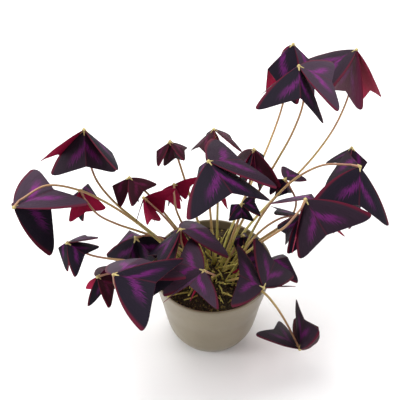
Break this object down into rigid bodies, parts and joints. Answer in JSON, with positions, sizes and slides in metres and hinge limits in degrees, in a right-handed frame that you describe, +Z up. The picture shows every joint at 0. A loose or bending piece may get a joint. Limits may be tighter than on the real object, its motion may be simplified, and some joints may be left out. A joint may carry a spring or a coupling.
{
  "type": "potted oxalis",
  "caption": "Potted oxalis with dark purple clover-like leaves on thin bent stalks, in a smooth tapering taupe pot of dark soil.",
  "frame": {"origin": "centre of the pot's flat underside", "axes": "+Z up the pot; +X to the right and +Y to the back, as seen from the front of the plant"},
  "size_m": [0.3065, 0.2923, 0.2436],
  "materials": {
    "pot": "smooth, semi-gloss",
    "soil": "damp potting soil, matte and crumbly",
    "leaf": "leaf blade, satin, dark purple above and crimson below",
    "stalk": "juicy stalk, satin, yellow-green to tan"
  },
  "bodies": {
    "root": {"pot": "pot", "soil": "soil", "leaf_01": "leaf", "leaf_02": "leaf", "leaf_03": "leaf", "leaf_04": "leaf", "leaf_05": "leaf", "leaf_06": "leaf", "leaf_07": "leaf", "leaf_08": "leaf", "leaf_09": "leaf", "leaf_10": "leaf", "leaf_11": "leaf", "leaf_12": "leaf", "leaf_13": "leaf", "leaf_14": "leaf", "leaf_15": "leaf", "leaf_16": "leaf", "leaf_17": "leaf", "leaf_18": "leaf", "leaf_19": "leaf", "leaf_20": "leaf", "leaf_21": "leaf", "leaf_22": "leaf", "leaf_23": "leaf", "leaf_24": "leaf", "leaf_25": "leaf", "leaf_26": "leaf", "leaf_27": "leaf", "leaf_28": "leaf", "leaf_29": "leaf", "stalk_01": "stalk", "stalk_02": "stalk", "stalk_03": "stalk", "stalk_04": "stalk", "stalk_05": "stalk", "stalk_06": "stalk", "stalk_07": "stalk", "stalk_08": "stalk", "stalk_09": "stalk", "stalk_10": "stalk", "stalk_11": "stalk", "stalk_12": "stalk", "stalk_13": "stalk", "stalk_14": "stalk", "stalk_15": "stalk", "stalk_16": "stalk", "stalk_17": "stalk", "stalk_18": "stalk", "stalk_19": "stalk", "stalk_20": "stalk", "stalk_21": "stalk", "stalk_22": "stalk", "stalk_23": "stalk", "stalk_24": "stalk", "stalk_25": "stalk", "stalk_26": "stalk", "stalk_27": "stalk", "stalk_28": "stalk", "stalk_29": "stalk"}
  },
  "joints": []
}
